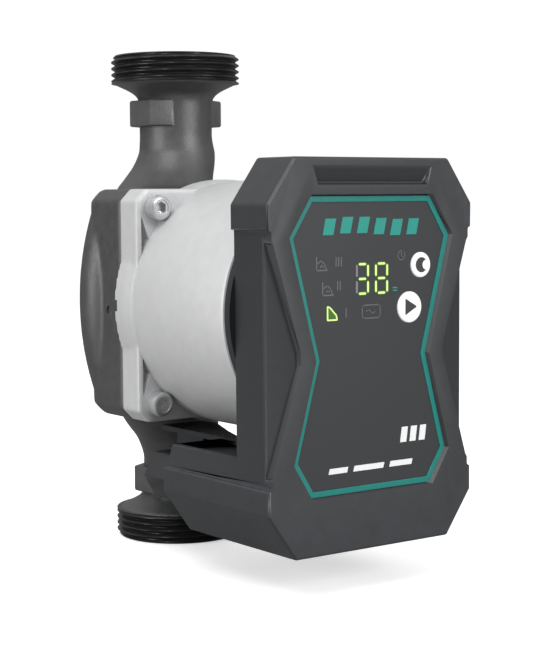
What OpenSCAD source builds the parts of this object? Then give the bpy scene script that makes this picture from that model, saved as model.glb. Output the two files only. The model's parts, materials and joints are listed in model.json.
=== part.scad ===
// Wet-rotor circulator pump with an electronic control box on the front of its motor.
// The origin is the centre of the inlet face. Z runs up the pipe, and the box faces -Y.

/* [Pipe ports] */
// Distance from the inlet face to the outlet face
port_to_port = 180; // [170:1:190]
// Outside radius of the union thread
thread_r = 23.9; // [22:0.1:26]
// Length of the union thread
thread_len = 10.3; // [8:0.1:12]
// Outside radius of the neck behind the thread
neck_r = 13.5; // [13:0.1:15]
// Radius of the water passage in the neck
port_bore_r = 10.5; // [9:0.1:11]

/* [Motor] */
// Height of the motor axis above the inlet face
axis_z = 90; // [88:0.5:92]
// Half width of the square motor flange
flange_half_w = 41; // [40.5:0.5:43]
// Half height of the square motor flange
flange_half_h = 40.5; // [40:0.5:43]
// Radius of the round motor body
motor_r = 43.3; // [43:0.1:44]
// Radius of the round middle of the flange
flange_bulge_r = 43.8; // [43.6:0.1:44.5]
// Distance from the axis to each flange screw, across and up
screw_offset = 34; // [33:0.5:35]

/* [Control box] */
// Half width of the box across its ears
box_half_w = 42.2; // [41.5:0.1:43]
// Lowest point of the box
box_low = 13.9; // [12:0.1:15]
// Highest point of the box
box_top = 139.9; // [139:0.1:142]
// Front face of the box
box_front = -116; // [-117:0.1:-116]
// Wall of the cover
cover_wall = 2.2; // [1.8:0.1:2.6]
// Width of the coloured trim line
trim_w = 1.86; // [1.2:0.02:2.4]
// Travel of a push button
button_travel = 0.5; // [0.3:0.05:0.5]

/* [Rotor] */
// Shaft radius
shaft_r = 4; // [3.5:0.1:4]
// Running clearance of the shaft in its bearings
shaft_gap = 0.03; // [0.02:0.01:0.05]
// Impeller radius
impeller_r = 29; // [26:0.5:31]
// Number of impeller vanes
vane_count = 6; // [4:1:7]

/* [Hidden] */
$fn = 96;
e = 0.01;

// Stations along the motor axis, from the back of the pump to the front of the box.
body_back = -2;
chamber_back = -11;
plate_back = -25.5;
joint_face = -27;
flange_front = -38.4;
motor_front = -93;
gasket_front = -93.4;
box_back = -96;
base_front = -98.5;
board_back = -101;
board_front = -102.6;
display_back = -108.6;
display_front = -110.2;
cover_inner = -112;
ledge = -113;
panel_front = -114.2;
trim_front = -114.5;
foot_back = -55;

// Passages in the pump housing.
bore_depth = 40;
outlet_bore_low = 133;
suction_r = 12;
suction_top = 102;
scroll_ring_r = 32;
scroll_tube_r = 6;
chamber_r = 33.5;
seat_r = 36.5;
eye_r = 11;
wear_ring_r = 13.5;

// Control box outline.
ear_cut_x = 10.5;
ear_cut_z = 14.7;
side_half_w = 40.6;
side_low = 36.8;
side_high = 117.2;
foot_rim = 44.8;
foot_plate_top = 42.8;
foot_plate_low = 40.6;
foot_slope_top = -58.6;
foot_wall_in = -58.9;
inner_half_w = side_half_w - cover_wall;
inner_low = box_low + cover_wall;
inner_top = box_top - cover_wall;
fit_gap = 0.1;

// Middle line of the trim, as half widths and heights from the top to the bottom.
trim_half = [[24.3, 126.7], [32.2, 114.6], [22, 76], [30.8, 44], [24.3, 33.6]];
trim_line = concat(trim_half, [for (i = [4:-1:0]) [-trim_half[i][0], trim_half[i][1]]]);
// Outer edge of the raised frame beside the trim.
frame_half = [[43, 119], [42.2, 116.5], [39.9, 112.8], [29.6, 79.3], [29.4, 75.2], [39.9, 40.8],
              [42.2, 37.5], [43, 35]];

// Buttons: place, radius, and the rim that keeps each one behind the panel.
night_button_at = [21.1, 105];
mode_button_at = [16.3, 91.3];
night_button_r = 4.15;
mode_button_r = 5.1;
button_gap = 0.15;
button_stem_r = 2.6;
button_rim_r = 3.4;
button_front = panel_front - 0.6;
switch_front = -111;
button_back = ledge - button_travel - 0.2;
stem_back = switch_front - button_travel - 0.1;

// Light-emitting diodes behind the mode signs.
led_places = [[-20, 106.5], [-17.7, 98.6], [-15.8, 90.7], [-13.2, 107], [-13, 99.2], [-10.2, 90.5],
              [0.2, 90.6]];
// Middle of the digit window across the box.
digits_mid = 1;

can_r = 19;
can_wall = 0.5;
can_flange_r = 30;
bush_r = 7.5;
base_screw_ring = 37;
base_screw_angles = [90, 210, 330];
foot_screw_x = 27;
cable_at = [-26, 30];
pin_places = [-6, 0, 6];
coil_count = 6;

// Extrudes an outline drawn in X and Z from y0 forward to y1, where y0 < y1.
module along_y(y0, y1) {
  translate([0, y1, 0]) rotate([90, 0, 0]) linear_extrude(y1 - y0) children();
}

// Extrudes an outline drawn in Y and Z over the given half width across X.
module along_x(half_w) {
  rotate([90, 0, 90]) linear_extrude(2 * half_w, center = true) children();
}

// A round bar along Y at a place in X and Z.
module bar(r, y0, y1, x = 0, z = axis_z) {
  translate([x, y1, z]) rotate([90, 0, 0]) cylinder(r = r, h = y1 - y0);
}

// A ring along Y.
module ring(outer_r, inner_r, y0, y1, x = 0, z = axis_z) {
  difference() {
    bar(outer_r, y0, y1, x, z);
    bar(inner_r, y0 - 1, y1 + 1, x, z);
  }
}

// Turns a profile of [radius, y] pairs about the motor axis.
module turned(profile) {
  translate([0, 0, axis_z]) rotate([90, 0, 0])
    rotate_extrude() polygon([for (p = profile) [p[0], -p[1]]]);
}

// A box from its lowest to its highest corner.
module block(low, high) {
  translate(low) cube(high - low);
}

// A rectangle whose corners are cut off at 45 degrees.
function cut_corners(half_w, half_h, cut) = [
  [half_w, half_h - cut], [half_w - cut, half_h], [cut - half_w, half_h], [-half_w, half_h - cut],
  [-half_w, cut - half_h], [cut - half_w, -half_h], [half_w - cut, -half_h], [half_w, cut - half_h]];

// The eight-sided outline of the box, between two heights.
function box_outline(half_w, low, high, cut_x, cut_z) = [
  [half_w, low + cut_z], [half_w, high - cut_z], [half_w - cut_x, high], [cut_x - half_w, high],
  [-half_w, high - cut_z], [-half_w, low + cut_z], [cut_x - half_w, low], [half_w - cut_x, low]];

// The foot's outline: the same lower corners under a flat top.
function foot_outline(half_w, low, high, cut_x, cut_z) = [
  [half_w, low + cut_z], [half_w, high], [-half_w, high], [-half_w, low + cut_z],
  [cut_x - half_w, low], [half_w - cut_x, low]];

// Moves every side of an outline that runs anticlockwise inwards by d.
function unit_vector(v) = v / norm(v);
function side_normal(a, b) = let (u = unit_vector(b - a)) [-u[1], u[0]];
function inset(points, d) = let (n = len(points)) [
  for (i = [0:n - 1])
    let (p = points[i],
         n0 = side_normal(points[(i + n - 1) % n], p),
         n1 = side_normal(p, points[(i + 1) % n]))
    p + d * (n0 + n1) / (1 + n0 * n1)];
trim_points = [for (i = [len(trim_line) - 1:-1:0]) trim_line[i]];

// A port: thread, hollow flare and neck, from z = 0 up to the given height.
function flare_points(steps) = [
  for (i = [0:steps])
    let (t = 90 - 90 * i / steps)
    [thread_r - (thread_r - neck_r) * cos(t), thread_len + 5.3 - 5.3 * sin(t)]];
module port(height) {
  rotate_extrude()
    polygon(concat([[0, 0], [thread_r - 1.1, 0], [thread_r, 1.1]], flare_points(8),
                   [[neck_r, height], [0, height]]));
  // wrench flats
  lug_low = thread_len + 6.3;
  lug_high = lug_low + 9.7;
  for (side = [-1, 1])
    translate([side * 12.85, 0, lug_low]) linear_extrude(lug_high - lug_low)
      polygon([[-side * 8, -11], [-side * 3.9, -11], [side * 2.85, -7.1], [side * 2.85, 7.1],
               [-side * 3.9, 11], [-side * 8, 11]]);
}

// Square block with its two back edges rounded.
module housing_block() {
  back_r = 13;
  intersection() {
    translate([0, 0, axis_z]) along_y(joint_face, body_back)
      polygon(cut_corners(flange_half_w, flange_half_h, 4));
    translate([0, 0, axis_z]) along_x(flange_half_w + 1) {
      translate([joint_face, -flange_half_h - 1])
        square([body_back - back_r - joint_face, 2 * flange_half_h + 2]);
      translate([joint_face, back_r - flange_half_h])
        square([body_back - joint_face, 2 * (flange_half_h - back_r)]);
      for (side = [-1, 1])
        translate([body_back - back_r, side * (flange_half_h - back_r)]) circle(back_r);
    }
  }
}

// Long low swelling of the scroll on one side.
module side_swelling(side) {
  swell_r = 91;
  intersection() {
    translate([side * (45 - swell_r - 9), -7, axis_z]) rotate([90, 0, 0])
      rotate_extrude() translate([swell_r, 0]) circle(9);
    block([side * 48 - 18, -20, axis_z - 32], [side * 48 + 18, 6, axis_z + 32]);
  }
}

// Cast pump body with both ports, the scroll and the seat for the bearing plate.
module pump_housing() color("#3b3c3e") {
  neck_low = bore_depth + 6;
  difference() {
    union() {
      port(axis_z);
      translate([0, 0, port_to_port]) mirror([0, 0, 1]) port(port_to_port - axis_z);
      housing_block();
      for (side = [-1, 1]) side_swelling(side);
      turned([[0, 14.8], [17, 14.8], [22, 13], [26, 9.5], [29, 4], [30, -4], [0, -4]]);
      translate([0, 0, 34]) cylinder(r1 = neck_r, r2 = 15, h = 5);
      translate([0, 0, 39]) cylinder(r = 15, h = suction_top + 3 - 39);
      // sloping shoulders from the necks out to the block
      hull() {
        translate([-1, 0, 147]) cylinder(r = 12, h = 1, $fn = 32);
        translate([-16, -6, 128]) cylinder(r = 12, h = 1, $fn = 32);
      }
      hull() {
        translate([-1, 0, 32]) cylinder(r = 12, h = 1, $fn = 32);
        translate([-16, -6, 51]) cylinder(r = 12, h = 1, $fn = 32);
      }
    }
    // water passages
    translate([0, 0, -1]) cylinder(r = port_bore_r, h = bore_depth + 1);
    translate([0, 0, bore_depth]) cylinder(r = suction_r, h = neck_low - bore_depth);
    intersection() {
      translate([0, 0, neck_low - e]) cylinder(r = suction_r, h = suction_top - neck_low);
      block([-20, -1, neck_low - 1], [20, 20, suction_top + 1]);
    }
    translate([0, 0, outlet_bore_low]) cylinder(r = port_bore_r, h = port_to_port);
    translate([0, 0, outlet_bore_low - 15]) cylinder(r = port_bore_r + 1, h = 15);
    translate([0, -10, axis_z]) rotate([90, 0, 0])
      rotate_extrude() translate([scroll_ring_r, 0]) circle(scroll_tube_r);
    bar(chamber_r, joint_face - 1, chamber_back);
    bar(wear_ring_r, chamber_back - 1, chamber_back + 4);
    bar(eye_r, chamber_back, 2);
    bar(seat_r, joint_face - 1, plate_back + 0.8);
    // threaded holes for the flange screws
    for (x = [-1, 1], z = [-1, 1])
      bar(2.5, joint_face - 1, joint_face + 12, x * screw_offset, axis_z + z * screw_offset);
  }
}

// Ring that the impeller's collar runs in.
module wear_ring() color("#b9b2a0") {
  ring(wear_ring_r, eye_r, chamber_back - 0.4, chamber_back + 4);
}

module housing_gasket() color("#1b1b1b") {
  ring(seat_r, chamber_r, plate_back, plate_back + 0.8);
}

// Pressed steel plate that closes the chamber and holds the front bearing.
module bearing_plate() color("#a8adb2") {
  difference() {
    union() {
      bar(seat_r, joint_face, plate_back);
      bar(bush_r + 2, -38, joint_face);
    }
    bar(bush_r, -39, plate_back + 1);
  }
}

module front_bearing() color("#4c4c50") {
  ring(bush_r, shaft_r + shaft_gap, -38, plate_back);
}

module thrust_bearing() color("#2f2f33") {
  ring(bush_r + 2, shaft_r + 1, -39.8, -38);
}

// Thin can that keeps the water out of the stator.
module rotor_can() color("#c3c7cb") {
  difference() {
    union() {
      bar(can_r, -91.8, joint_face);
      bar(can_flange_r, joint_face - 1, joint_face);
    }
    bar(can_r - can_wall, -91, joint_face + 1);
  }
}

module can_seal() color("#1b1b1b") {
  ring(26, 24, -29.2, joint_face - 1);
}

module rear_bearing() color("#4c4c50") {
  ring(bush_r, shaft_r + shaft_gap, -91, -84);
}

module rear_bearing_holder() color("#b9b2a0") {
  ring(can_r - can_wall, bush_r, -91, -84);
}

// Laminated ring with one tooth and a wide shoe for each coil.
module stator_core() color("#8b8f94") {
  translate([0, 0, axis_z]) along_y(-80, -50) {
    difference() {
      circle(40);
      circle(33);
    }
    for (i = [0:coil_count - 1]) rotate(i * 360 / coil_count) {
      translate([-4, 20.5]) square([8, 13]);
      intersection() {
        difference() {
          circle(22.4);
          circle(can_r + 0.2);
        }
        translate([-9, 0]) square([18, 30]);
      }
    }
  }
}

// A rectangular tube round one tooth.
module tooth_wrap(outer_x, inner_x, outer_y, inner_y) {
  difference() {
    block([-outer_x, -65 - outer_y, axis_z + 22.5], [outer_x, -65 + outer_y, axis_z + 31.4]);
    block([-inner_x, -65 - inner_y, axis_z + 21], [inner_x, -65 + inner_y, axis_z + 34]);
  }
}

module stator_insulators() color("#e8e4d8") {
  for (i = [0:coil_count - 1])
    translate([0, 0, axis_z]) rotate([0, i * 360 / coil_count, 0]) translate([0, 0, -axis_z])
      tooth_wrap(4.6, 4, 15.7, 15);
}

module stator_windings() color("#b4622d") {
  for (i = [0:coil_count - 1])
    translate([0, 0, axis_z]) rotate([0, i * 360 / coil_count, 0]) translate([0, 0, -axis_z])
      tooth_wrap(9.4, 4.6, 19, 15.7);
}

module winding_pins() color("#c8a45a") {
  for (x = pin_places) bar(0.6, -103.4, -84, x, axis_z - 28);
}

// Outline of the motor flange: a square with a round middle.
module flange_shape() {
  polygon(cut_corners(flange_half_w, flange_half_h, 4));
  circle(flange_bulge_r);
}

// Aluminium motor body with its flange.
module motor_housing() color("#c9cbce") {
  difference() {
    union() {
      translate([0, 0, axis_z]) along_y(flange_front, joint_face) flange_shape();
      bar(motor_r, motor_front, flange_front);
    }
    bar(40, motor_front - 1, joint_face - 6);
    bar(can_r + 0.2, -40, joint_face + 1);
    bar(can_flange_r + 0.2, joint_face - 1, joint_face + 1);
    ring(26, 24, -29.2, joint_face - 1 + e);
    for (x = [-1, 1], z = [-1, 1]) {
      bar(2.75, -40, joint_face + 1, x * screw_offset, axis_z + z * screw_offset);
      // pocket beside the screw pad, clear of the round body
      difference() {
        translate([0, 0, axis_z]) in_quarter(x, z) along_y(flange_front - 1, flange_front + 4)
          polygon([[39.3, 10], [39.3, 31.5], [36, 22.6], [28, 20], [28, 10]]);
        bar(motor_r, flange_front - 2, flange_front + 5);
      }
    }
    // drain notches at the joint face
    for (side = [-1, 1])
      block([side * 43 - 1.6, joint_face - 2, axis_z - 2], [side * 43 + 1.6, joint_face + 1, axis_z + 2]);
  }
  // threaded pillars for the screws that hold the box
  for (a = base_screw_angles)
    ring(3.5, 1.4, motor_front, motor_front + 7, base_screw_ring * cos(a),
         axis_z + base_screw_ring * sin(a));
}

// Mirrors its children into one of the four quarters about the motor axis.
module in_quarter(x, z) {
  mirror([x < 0 ? 1 : 0, 0, 0]) mirror([0, 0, z < 0 ? 1 : 0]) children();
}

// Socket-head screw along Y: head in front of y_seat, shank behind it.
module socket_screw(head_r, head_h, shank_r, shank_len, y_seat, x, z) {
  difference() {
    union() {
      bar(head_r, y_seat - head_h, y_seat, x, z);
      bar(shank_r, y_seat - e, y_seat + shank_len, x, z);
    }
    translate([x, y_seat - head_h + head_h * 0.55, z]) rotate([90, 0, 0])
      cylinder(r = head_r * 0.55, h = head_h, $fn = 6);
  }
}

module flange_screws() color("#aeb1b4") {
  for (x = [-1, 1], z = [-1, 1])
    socket_screw(4.25, 5, 2.5, 22, flange_front, x * screw_offset, axis_z + z * screw_offset);
}

module box_gasket() color("#1b1b1b") {
  ring(42.4, 40.2, gasket_front, motor_front);
}

// L-shaped base of the control box: back plate, foot top and the tongue under the motor.
module box_base() color("#46484c") {
  plate_half_w = inner_half_w - fit_gap;
  tongue_half_w = 21;
  difference() {
    union() {
      along_y(base_front, box_back)
        polygon([[plate_half_w, foot_plate_low], [plate_half_w, inner_top - 13.6],
                 [plate_half_w - 9.7, inner_top - fit_gap], [9.7 - plate_half_w, inner_top - fit_gap],
                 [-plate_half_w, inner_top - 13.6], [-plate_half_w, foot_plate_low]]);
      block([-plate_half_w, box_back - e, foot_plate_low],
            [plate_half_w, foot_wall_in - fit_gap, foot_plate_top]);
      ring(42.6, 39, box_back - e, gasket_front);
      for (a = base_screw_angles)
        bar(3, box_back - e, motor_front, base_screw_ring * cos(a),
            axis_z + base_screw_ring * sin(a));
      // tongue under the motor, narrowing towards the pump, with a rib that drops behind the foot
      translate([0, 0, 43.6]) linear_extrude(1.8)
        polygon([[-tongue_half_w, box_back - e], [-tongue_half_w, -21], [-4, -21], [-2, -28],
                 [-11, -49], [-15, -60], [-15, -80], [tongue_half_w, -80],
                 [tongue_half_w, box_back - e]]);
      block([-tongue_half_w, box_back - e, foot_plate_top - e], [tongue_half_w, -80, 43.6 + e]);
      block([-17, -42, 34], [-5, -25, 43.6 + e]);
      for (x = [-29, 29], z = [54, 118]) bar(2.5, board_back, base_front + e, x, z);
    }
    for (a = base_screw_angles)
      bar(1.6, base_front - 1, motor_front + 1, base_screw_ring * cos(a),
          axis_z + base_screw_ring * sin(a));
    // slot for the winding pins
    block([-9, base_front - 1, axis_z - 30], [9, box_back + 1, axis_z - 26]);
    for (x = [-30, 30]) bar(1.4, base_front - 1, box_back + 1, x, 128);
    for (x = [-foot_screw_x, foot_screw_x])
      translate([x, -84, foot_plate_low - 1]) cylinder(r = 1.4, h = 4);
  }
}

module base_screws() color("#aeb1b4") {
  for (a = base_screw_angles)
    socket_screw(2.75, 1.9, 1.4, 11, base_front, base_screw_ring * cos(a),
                 axis_z + base_screw_ring * sin(a));
}

// Moulded cover: front frame, ears, side walls and foot shell in one piece.
module box_cover() color("#4b4d51") {
  foot_front = box_back + e;
  difference() {
    union() {
      difference() {
        union() {
          along_y(box_front, box_back)
            polygon(box_outline(box_half_w, box_low, box_top, ear_cut_x, ear_cut_z));
          along_y(box_back - e, foot_back)
            polygon(foot_outline(box_half_w, box_low, foot_rim, ear_cut_x, ear_cut_z));
        }
        // recessed sides between the ears and the foot band
        for (side = [-1, 1])
          block([side * (side_half_w + 5) - 5, box_front - 1, side_low],
                [side * (side_half_w + 5) + 5, foot_back + 1, side_high]);
        // hollow of the box, open at the back, and of the foot, open at the top
        along_y(cover_inner, box_back + 1)
          polygon(box_outline(inner_half_w, inner_low, inner_top, 9.7, 13.6));
        along_y(box_back, foot_wall_in)
          polygon(foot_outline(inner_half_w, inner_low, foot_rim + 1, 9.7, 13.6));
        // sloping back corner of the foot
        along_x(box_half_w + 1)
          polygon([[foot_back + 1, 35.1], [foot_back + 1, 46], [foot_slope_top - 0.5, 46],
                   [foot_slope_top, foot_rim], [foot_back, 37.2]]);
      }
      // screw pillars and the pedestal of the terminal block
      for (x = [-30, 30]) bar(3, cover_inner - e, base_front, x, 128);
      for (x = [-foot_screw_x, foot_screw_x])
        translate([x, -84, inner_low - e]) cylinder(r = 3, h = foot_plate_low - inner_low + e);
      block([-10, -75, inner_low - e], [10, -63, 24]);
      for (x = [-24, 24]) bar(2, cover_inner - e, display_front, x, 112.5);
      for (x = [-20, 20]) bar(2, cover_inner - e, display_front, x, 84.5);
    }
    // sloping facets beside the frame
    for (side = [0, 1]) mirror([side, 0, 0]) intersection() {
      along_y(box_front - 1, cover_inner + 2)
        polygon(concat(frame_half, [[48, 35], [48, 119]]));
      linear_extrude(box_top)
        polygon([[28, box_front + 2.1], [48, box_front + 5], [48, box_front - 2],
                 [28, box_front - 2]]);
    }
    // scoop under the top edge
    intersection() {
      along_x(24) polygon([[box_front - 1, 131.5], [box_front + 2.1, 131.5],
                           [box_front - 0.1, 137], [box_front - 1, 137]]);
      along_y(box_front - 2, cover_inner) polygon([[-22, 131], [22, 131], [24, 137.5], [-24, 137.5]]);
    }
    // seat of the panel and trim, and the window behind it
    along_y(box_front - 1, ledge) polygon(inset(trim_points, -trim_w / 2 - 0.5));
    block([digits_mid - 9.2, ledge - 1, 94.2], [digits_mid + 9.2, cover_inner + 1, 108.2]);
    for (p = [night_button_at, mode_button_at])
      bar(button_stem_r + button_gap, ledge - 1, cover_inner + 1, p[0], p[1]);
    for (p = led_places) bar(1.2, ledge - 1, cover_inner + 1, p[0], p[1]);
    // screw holes
    for (x = [-30, 30]) bar(1.2, base_front - 9, base_front + 1, x, 128);
    for (x = [-foot_screw_x, foot_screw_x])
      translate([x, -84, foot_plate_low - 10]) cylinder(r = 1.2, h = 11);
    // entry for the cable gland
    bar(7, foot_wall_in - 1, foot_back + 1, cable_at[0], cable_at[1]);
  }
}

// Screws through the base into the cover's top pillars, from behind.
module cover_screws() color("#aeb1b4") {
  for (x = [-30, 30])
    difference() {
      union() {
        bar(2.5, box_back, box_back + 1.5, x, 128);
        bar(1.2, base_front - 8, box_back + e, x, 128);
      }
      translate([x, box_back + 2.2, 128]) rotate([90, 0, 0]) cylinder(r = 1.1, h = 1.4, $fn = 6);
    }
}

// Screws down through the foot's top into its pillars.
module foot_screws() color("#aeb1b4") {
  for (x = [-foot_screw_x, foot_screw_x])
    translate([x, -84, 0]) difference() {
      union() {
        translate([0, 0, foot_plate_top]) cylinder(r = 2.5, h = 1.5);
        translate([0, 0, foot_plate_low - 8]) cylinder(r = 1.2, h = 10.2 + e);
      }
      translate([0, 0, foot_plate_top + 0.8]) cylinder(r = 1.1, h = 1.4, $fn = 6);
    }
}

// Coloured line round the panel.
module trim_line_ring() color("#1f9a93") {
  along_y(trim_front, ledge) difference() {
    polygon(inset(trim_points, -trim_w / 2));
    polygon(inset(trim_points, trim_w / 2));
  }
}

// Dark printed panel inside the trim.
module fascia_panel() color("#505257") {
  difference() {
    along_y(panel_front, ledge) polygon(inset(trim_points, trim_w / 2));
    bar(night_button_r + button_gap, box_front, ledge + 1, night_button_at[0], night_button_at[1]);
    bar(mode_button_r + button_gap, box_front, ledge + 1, mode_button_at[0], mode_button_at[1]);
  }
}

module digit_display() color("#2a2d2b") {
  block([digits_mid - 9, ledge, 94.5], [digits_mid + 9, display_front, 108]);
}

module display_board() color("#1f6b3a") {
  difference() {
    block([-27, display_front, 81.5], [27, display_back, 115.5]);
    for (x = [-24, 24]) bar(1, display_front - 1, display_back + 1, x, 112.5);
    for (x = [-20, 20]) bar(1, display_front - 1, display_back + 1, x, 84.5);
  }
}

module mode_leds() color("#d8dc9a") {
  for (p = led_places)
    block([p[0] - 0.8, -111.2, p[1] - 0.5], [p[0] + 0.8, display_front, p[1] + 0.5]);
}

// Small switches that the buttons press on.
module tact_switches() color("#2c2c2e") {
  for (p = [night_button_at, mode_button_at]) {
    block([p[0] - 3, -110.8, p[1] - 3], [p[0] + 3, display_front, p[1] + 3]);
    bar(1.5, switch_front, -110.8 + e, p[0], p[1]);
  }
}

module power_board() color("#1f6b3a") {
  difference() {
    block([-33, board_front, 50], [33, board_back, 123.5]);
    for (x = [-29, 29], z = [54, 118]) bar(1.2, board_front - 1, board_back + 1, x, z);
    for (x = pin_places) bar(0.6, board_front - 1, board_back + 1, x, axis_z - 28);
  }
}

module board_connector() color("#26282a") {
  block([-25, display_back, 83], [-9, board_front, 87]);
}

module capacitors() color("#20303f") {
  for (x = [-27, -17.5])
    translate([x, board_front - 4.4, 57]) cylinder(r = 4.4, h = 19);
}

module film_capacitor() color("#c9a227") {
  block([-12, board_front - 8, 65], [-2, board_front, 79]);
}

module choke() color("#8a3f1e") {
  ring(7.5, 3.8, board_front - 7.5, board_front, 16, 70);
}

module power_module() color("#1c1c1e") {
  block([-12, board_back, 98], [12, board_back + 1.6, 112]);
}

module heat_pad() color("#8fa7b8") {
  block([-11, board_back + 1.6, 99], [11, base_front, 111]);
}

// Block for the supply wires, on its pedestal in the foot.
module terminal_block() color("#d9d9d6") {
  difference() {
    block([-14, -76, 24], [14, -62, 36]);
    for (x = [-9, 0, 9]) {
      bar(1.7, -70, -61, x, 28);
      translate([x, -69, 31]) cylinder(r = 2.1, h = 6);
    }
  }
}

module terminal_screws() color("#c8a45a") {
  for (x = [-9, 0, 9])
    translate([x, -69, 31]) difference() {
      cylinder(r = 2.1, h = 3);
      block([-2.5, -0.3, 2], [2.5, 0.3, 4]);
    }
}

// Short leads from the terminal block up to the power board.
module supply_leads() color("#8a2f2a") {
  lead_y = (board_back + board_front) / 2;
  for (x = [-9, 0, 9]) {
    bar(0.9, lead_y, -76, x, 30);
    translate([x, lead_y, 30]) sphere(r = 0.9, $fn = 32);
    translate([x, lead_y, 30]) cylinder(r = 0.9, h = 20);
  }
}

// Threaded gland body in the back wall of the foot.
module cable_gland() color("#3a3b3e") {
  difference() {
    union() {
      bar(7, -61, -41, cable_at[0], cable_at[1]);
      translate([cable_at[0], -50.5, cable_at[1]]) rotate([90, 30, 0])
        cylinder(r = 9.2, h = -50.5 - foot_back, $fn = 6);
    }
    bar(5.6, -62, -40, cable_at[0], cable_at[1]);
  }
}

// Hexagonal cap nut of the gland, with a vertex to each side.
module gland_nut() color("#4a4b4e") {
  translate([cable_at[0], 0, cable_at[1]]) difference() {
    union() {
      translate([0, -31.5, 0]) rotate([90, 0, 0]) cylinder(r = 9.2, h = 15.5, $fn = 6);
      translate([0, -29.5, 0]) rotate([90, 0, 0]) cylinder(r1 = 6.6, r2 = 8, h = 2 + e);
    }
    translate([0, -41, 0]) rotate([90, 0, 0]) cylinder(r = 7, h = 7);
    translate([0, -33, 0]) rotate([90, 0, 0]) cylinder(r = 5.6, h = 9);
    translate([0, -28, 0]) rotate([90, 0, 0]) cylinder(r = 4.2, h = 6);
  }
}

// Rubber sleeve that grips a cable in the gland.
module gland_seal() color("#1b1b1b") {
  ring(5.6, 3.5, -45, -33, cable_at[0], cable_at[1]);
}

module shaft() color("#d5d7da") {
  bar(shaft_r, -90, -14);
}

module rotor_core() color("#85888c") {
  ring(14, shaft_r, -79, -45);
}

// Four curved magnets with narrow gaps between them.
module rotor_magnets() color("#55575b") {
  for (i = [0:3])
    translate([0, 0, axis_z]) rotate([0, 45 + i * 90, 0]) translate([0, 0, -axis_z])
      intersection() {
        ring(16.6, 14, -79, -45);
        block([-9.7, -80, axis_z], [9.7, -44, axis_z + 20]);
      }
}

module rotor_sleeve() color("#c3c7cb") {
  ring(17.2, 16.6, -79, -45);
}

module rotor_end_caps() color("#c3c7cb") {
  ring(17.2, shaft_r, -81, -79);
  ring(17.2, shaft_r, -45, -43);
}

module thrust_collar() color("#d8d4c8") {
  ring(bush_r + 1.5, shaft_r, -43, -40);
}

// One backward-curved vane, drawn in the impeller's plane.
function spiral(a0, a1, r0, r1, steps) = [
  for (i = [0:steps])
    let (s = i / steps, r = r0 * pow(r1 / r0, s), a = a0 + (a1 - a0) * s)
    [r * cos(a), r * sin(a)]];
module vane_outline() {
  inner = spiral(0, 75, 10.5, impeller_r - 0.6, 8);
  outer = spiral(7, 79, 10.5, impeller_r - 0.6, 8);
  polygon(concat(inner, [for (i = [8:-1:0]) outer[i]]));
}

// Back plate, hub and vanes in one piece.
module impeller() color("#c9c3b2") {
  difference() {
    union() {
      bar(impeller_r, -19.5, -17.5);
      bar(bush_r, -24, -19.5 + e);
      translate([0, 0, axis_z]) for (i = [0:vane_count - 1])
        rotate([0, i * 360 / vane_count, 0]) along_y(-17.5 - e, -13.5) vane_outline();
    }
    bar(shaft_r, -25, -12);
  }
}

module impeller_shroud() color("#c9c3b2") {
  difference() {
    union() {
      bar(impeller_r, -13.5, -12);
      bar(eye_r - 0.15, -12 - e, -8);
    }
    bar(eye_r - 1.6, -14, -7);
  }
}

module impeller_lock_ring() color("#d5d7da") {
  ring(6.2, shaft_r, -17.5, -16);
}

// A round push button with a stem through the cover and a rim behind it.
module push_button(r, at) {
  bar(r, button_front, button_back, at[0], at[1]);
  bar(button_stem_r, button_back - e, stem_back, at[0], at[1]);
  bar(button_rim_r, cover_inner + 0.05, stem_back, at[0], at[1]);
}

module night_button() color("#f2f2ef") {
  push_button(night_button_r, night_button_at);
}

module mode_button() color("#f2f2ef") {
  push_button(mode_button_r, mode_button_at);
}

pump_housing();
wear_ring();
housing_gasket();
bearing_plate();
front_bearing();
thrust_bearing();
rotor_can();
can_seal();
rear_bearing();
rear_bearing_holder();
stator_core();
stator_insulators();
stator_windings();
winding_pins();
motor_housing();
flange_screws();
box_gasket();
box_base();
base_screws();
box_cover();
cover_screws();
foot_screws();
trim_line_ring();
fascia_panel();
digit_display();
display_board();
mode_leds();
tact_switches();
power_board();
board_connector();
capacitors();
film_capacitor();
choke();
power_module();
heat_pad();
terminal_block();
terminal_screws();
supply_leads();
cable_gland();
gland_nut();
gland_seal();
shaft();
rotor_core();
rotor_magnets();
rotor_sleeve();
rotor_end_caps();
thrust_collar();
impeller();
impeller_shroud();
impeller_lock_ring();
night_button();
mode_button();
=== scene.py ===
"""Looks of a circulator pump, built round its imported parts."""

import json
import math

import bmesh
import bpy
from mathutils import Matrix, Vector

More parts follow.
